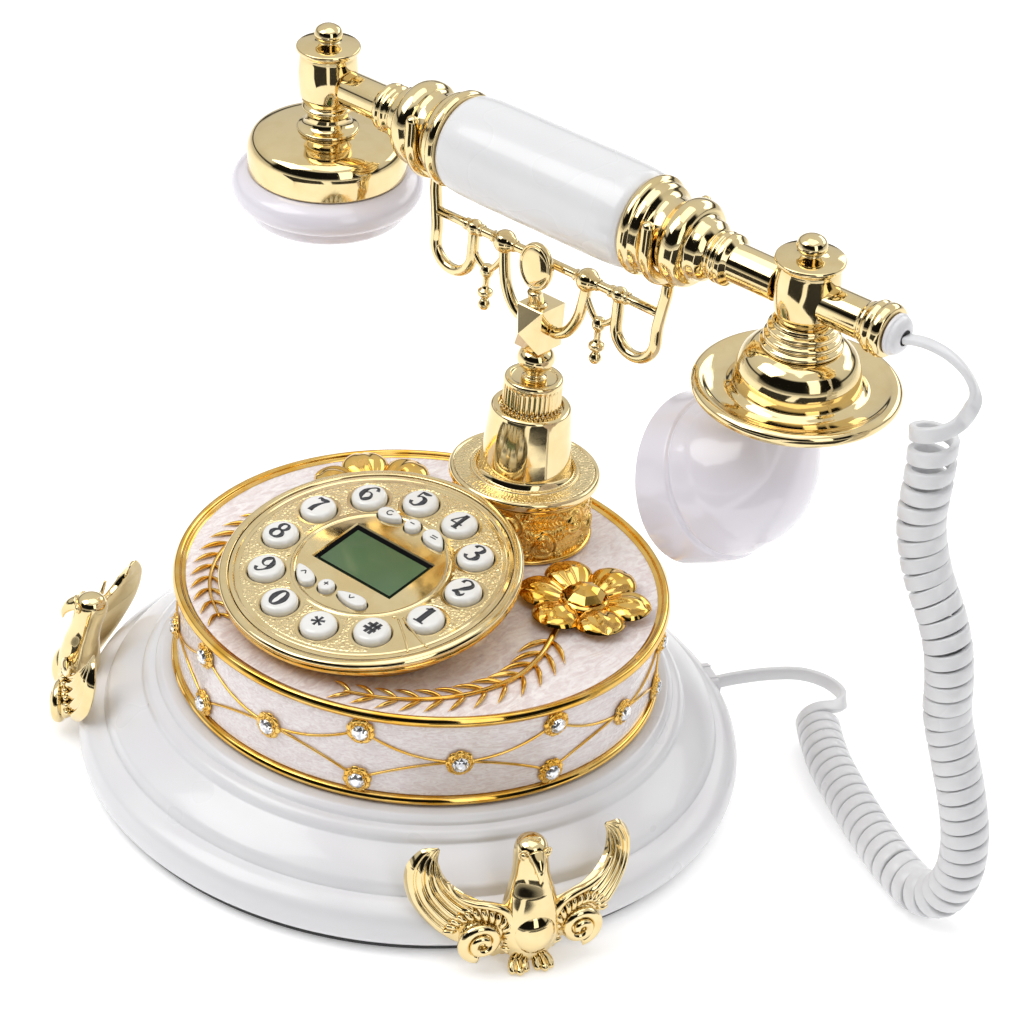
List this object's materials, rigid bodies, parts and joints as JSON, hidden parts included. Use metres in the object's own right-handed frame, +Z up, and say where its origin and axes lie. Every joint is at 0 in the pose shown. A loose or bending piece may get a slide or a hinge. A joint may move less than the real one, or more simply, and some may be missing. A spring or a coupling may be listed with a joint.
{
  "type": "french-style cradle telephone",
  "caption": "Ornate desk telephone with a push-button dial on an enamelled drum, a wire cradle on a column, and a corded handset.",
  "frame": {"origin": "centre of the base plate's underside, on the table", "axes": "+X the phone's right, the mouthpiece side; -Y its front; +Z up"},
  "size_m": [0.3343, 0.2458, 0.2229],
  "materials": {
    "pale_gold": "bright plated, mirror",
    "rich_gold": "bright plated, deep yellow",
    "pearl_enamel": "brushed pearl enamel",
    "pearl_white": "pearl lacquer",
    "satin_white": "satin",
    "gloss_white": "gloss",
    "key_white": "gloss with dark digits",
    "display_glass": "clear window over a green display",
    "black_plastic": "moulded",
    "circuit_board": "laminate",
    "cord_vinyl": "semi-gloss flexible vinyl"
  },
  "bodies": {
    "base": {"base_plate": "black_plastic", "plinth_shell": "satin_white", "cord_jack": "satin_white", "main_board": "circuit_board", "ringer": "black_plastic", "drum_ring_bottom": "rich_gold", "drum_shell": "pearl_enamel", "drum_ring_top": "rich_gold", "garland": "rich_gold", "flower_spray_right": "rich_gold", "flower_spray_left": "rich_gold", "dove_right": "pale_gold", "dove_left": "pale_gold", "dove_rear": "pale_gold", "dial_housing": "rich_gold", "dial_face": "pale_gold", "display_window": "display_glass", "key_board": "circuit_board", "column_base": "rich_gold", "column_cone": "pale_gold", "column_collar": "pale_gold", "hook_switch": "black_plastic", "cord_lead_handset": "cord_vinyl", "cord_coil": "cord_vinyl", "cord_lead_base": "cord_vinyl"},
    "cradle": {"cradle_stem": "pale_gold", "cradle_block": "pale_gold", "cradle_mirror": "pale_gold", "cradle_yoke": "pale_gold", "cradle_fork_left": "pale_gold", "cradle_fork_right": "pale_gold"},
    "handset": {"handset_grip": "pearl_white", "handset_ferrule_left": "pale_gold", "handset_ferrule_right": "pale_gold", "handset_post_left": "pale_gold", "handset_post_right": "pale_gold", "cord_gland": "satin_white", "earpiece_cap": "pale_gold", "earpiece_cover": "gloss_white", "earpiece_receiver": "black_plastic", "mouthpiece_saucer": "pale_gold", "mouthpiece_horn": "gloss_white"},
    "key_1": {"key_1": "key_white"},
    "key_2": {"key_2": "key_white"},
    "key_3": {"key_3": "key_white"},
    "key_4": {"key_4": "key_white"},
    "key_5": {"key_5": "key_white"},
    "key_6": {"key_6": "key_white"},
    "key_7": {"key_7": "key_white"},
    "key_8": {"key_8": "key_white"},
    "key_9": {"key_9": "key_white"},
    "key_0": {"key_0": "key_white"},
    "key_star": {"key_star": "key_white"},
    "key_hash": {"key_hash": "key_white"},
    "key_redial": {"key_redial": "key_white"},
    "key_set": {"key_set": "key_white"},
    "key_handsfree": {"key_handsfree": "key_white"},
    "key_up": {"key_up": "key_white"},
    "key_out": {"key_out": "key_white"},
    "key_down": {"key_down": "key_white"}
  },
  "joints": [
    {"name": "handset_lift", "type": "slide", "parent": "base", "child": "handset", "axis": [0, 0, 1], "range_m": [0, 0.06]},
    {"name": "cradle_rise", "type": "slide", "parent": "base", "child": "cradle", "axis": [0, 0, 1], "range_m": [0, 0.004]},
    {"name": "key_1_press", "type": "slide", "parent": "base", "child": "key_1", "axis": [0, 0.1719, -0.9851], "range_m": [0, 0.0012], "stiffness_N_per_m": 150, "springref_m": -0.001},
    {"name": "key_2_press", "type": "slide", "parent": "base", "child": "key_2", "axis": [0, 0.1719, -0.9851], "range_m": [0, 0.0012], "stiffness_N_per_m": 150, "springref_m": -0.001},
    {"name": "key_3_press", "type": "slide", "parent": "base", "child": "key_3", "axis": [0, 0.1719, -0.9851], "range_m": [0, 0.0012], "stiffness_N_per_m": 150, "springref_m": -0.001},
    {"name": "key_4_press", "type": "slide", "parent": "base", "child": "key_4", "axis": [0, 0.1719, -0.9851], "range_m": [0, 0.0012], "stiffness_N_per_m": 150, "springref_m": -0.001},
    {"name": "key_5_press", "type": "slide", "parent": "base", "child": "key_5", "axis": [0, 0.1719, -0.9851], "range_m": [0, 0.0012], "stiffness_N_per_m": 150, "springref_m": -0.001},
    {"name": "key_6_press", "type": "slide", "parent": "base", "child": "key_6", "axis": [0, 0.1719, -0.9851], "range_m": [0, 0.0012], "stiffness_N_per_m": 150, "springref_m": -0.001},
    {"name": "key_7_press", "type": "slide", "parent": "base", "child": "key_7", "axis": [0, 0.1719, -0.9851], "range_m": [0, 0.0012], "stiffness_N_per_m": 150, "springref_m": -0.001},
    {"name": "key_8_press", "type": "slide", "parent": "base", "child": "key_8", "axis": [0, 0.1719, -0.9851], "range_m": [0, 0.0012], "stiffness_N_per_m": 150, "springref_m": -0.001},
    {"name": "key_9_press", "type": "slide", "parent": "base", "child": "key_9", "axis": [0, 0.1719, -0.9851], "range_m": [0, 0.0012], "stiffness_N_per_m": 150, "springref_m": -0.001},
    {"name": "key_0_press", "type": "slide", "parent": "base", "child": "key_0", "axis": [0, 0.1719, -0.9851], "range_m": [0, 0.0012], "stiffness_N_per_m": 150, "springref_m": -0.001},
    {"name": "key_star_press", "type": "slide", "parent": "base", "child": "key_star", "axis": [0, 0.1719, -0.9851], "range_m": [0, 0.0012], "stiffness_N_per_m": 150, "springref_m": -0.001},
    {"name": "key_hash_press", "type": "slide", "parent": "base", "child": "key_hash", "axis": [0, 0.1719, -0.9851], "range_m": [0, 0.0012], "stiffness_N_per_m": 150, "springref_m": -0.001},
    {"name": "key_redial_press", "type": "slide", "parent": "base", "child": "key_redial", "axis": [0, 0.1719, -0.9851], "range_m": [0, 0.0012], "stiffness_N_per_m": 150, "springref_m": -0.001},
    {"name": "key_set_press", "type": "slide", "parent": "base", "child": "key_set", "axis": [0, 0.1719, -0.9851], "range_m": [0, 0.0012], "stiffness_N_per_m": 150, "springref_m": -0.001},
    {"name": "key_handsfree_press", "type": "slide", "parent": "base", "child": "key_handsfree", "axis": [0, 0.1719, -0.9851], "range_m": [0, 0.0012], "stiffness_N_per_m": 150, "springref_m": -0.001},
    {"name": "key_up_press", "type": "slide", "parent": "base", "child": "key_up", "axis": [0, 0.1719, -0.9851], "range_m": [0, 0.0012], "stiffness_N_per_m": 150, "springref_m": -0.001},
    {"name": "key_out_press", "type": "slide", "parent": "base", "child": "key_out", "axis": [0, 0.1719, -0.9851], "range_m": [0, 0.0012], "stiffness_N_per_m": 150, "springref_m": -0.001},
    {"name": "key_down_press", "type": "slide", "parent": "base", "child": "key_down", "axis": [0, 0.1719, -0.9851], "range_m": [0, 0.0012], "stiffness_N_per_m": 150, "springref_m": -0.001}
  ],
  "couplings": [
    {"joint": "cradle_rise", "follows": "handset_lift", "ratio": 0.066667}
  ]
}
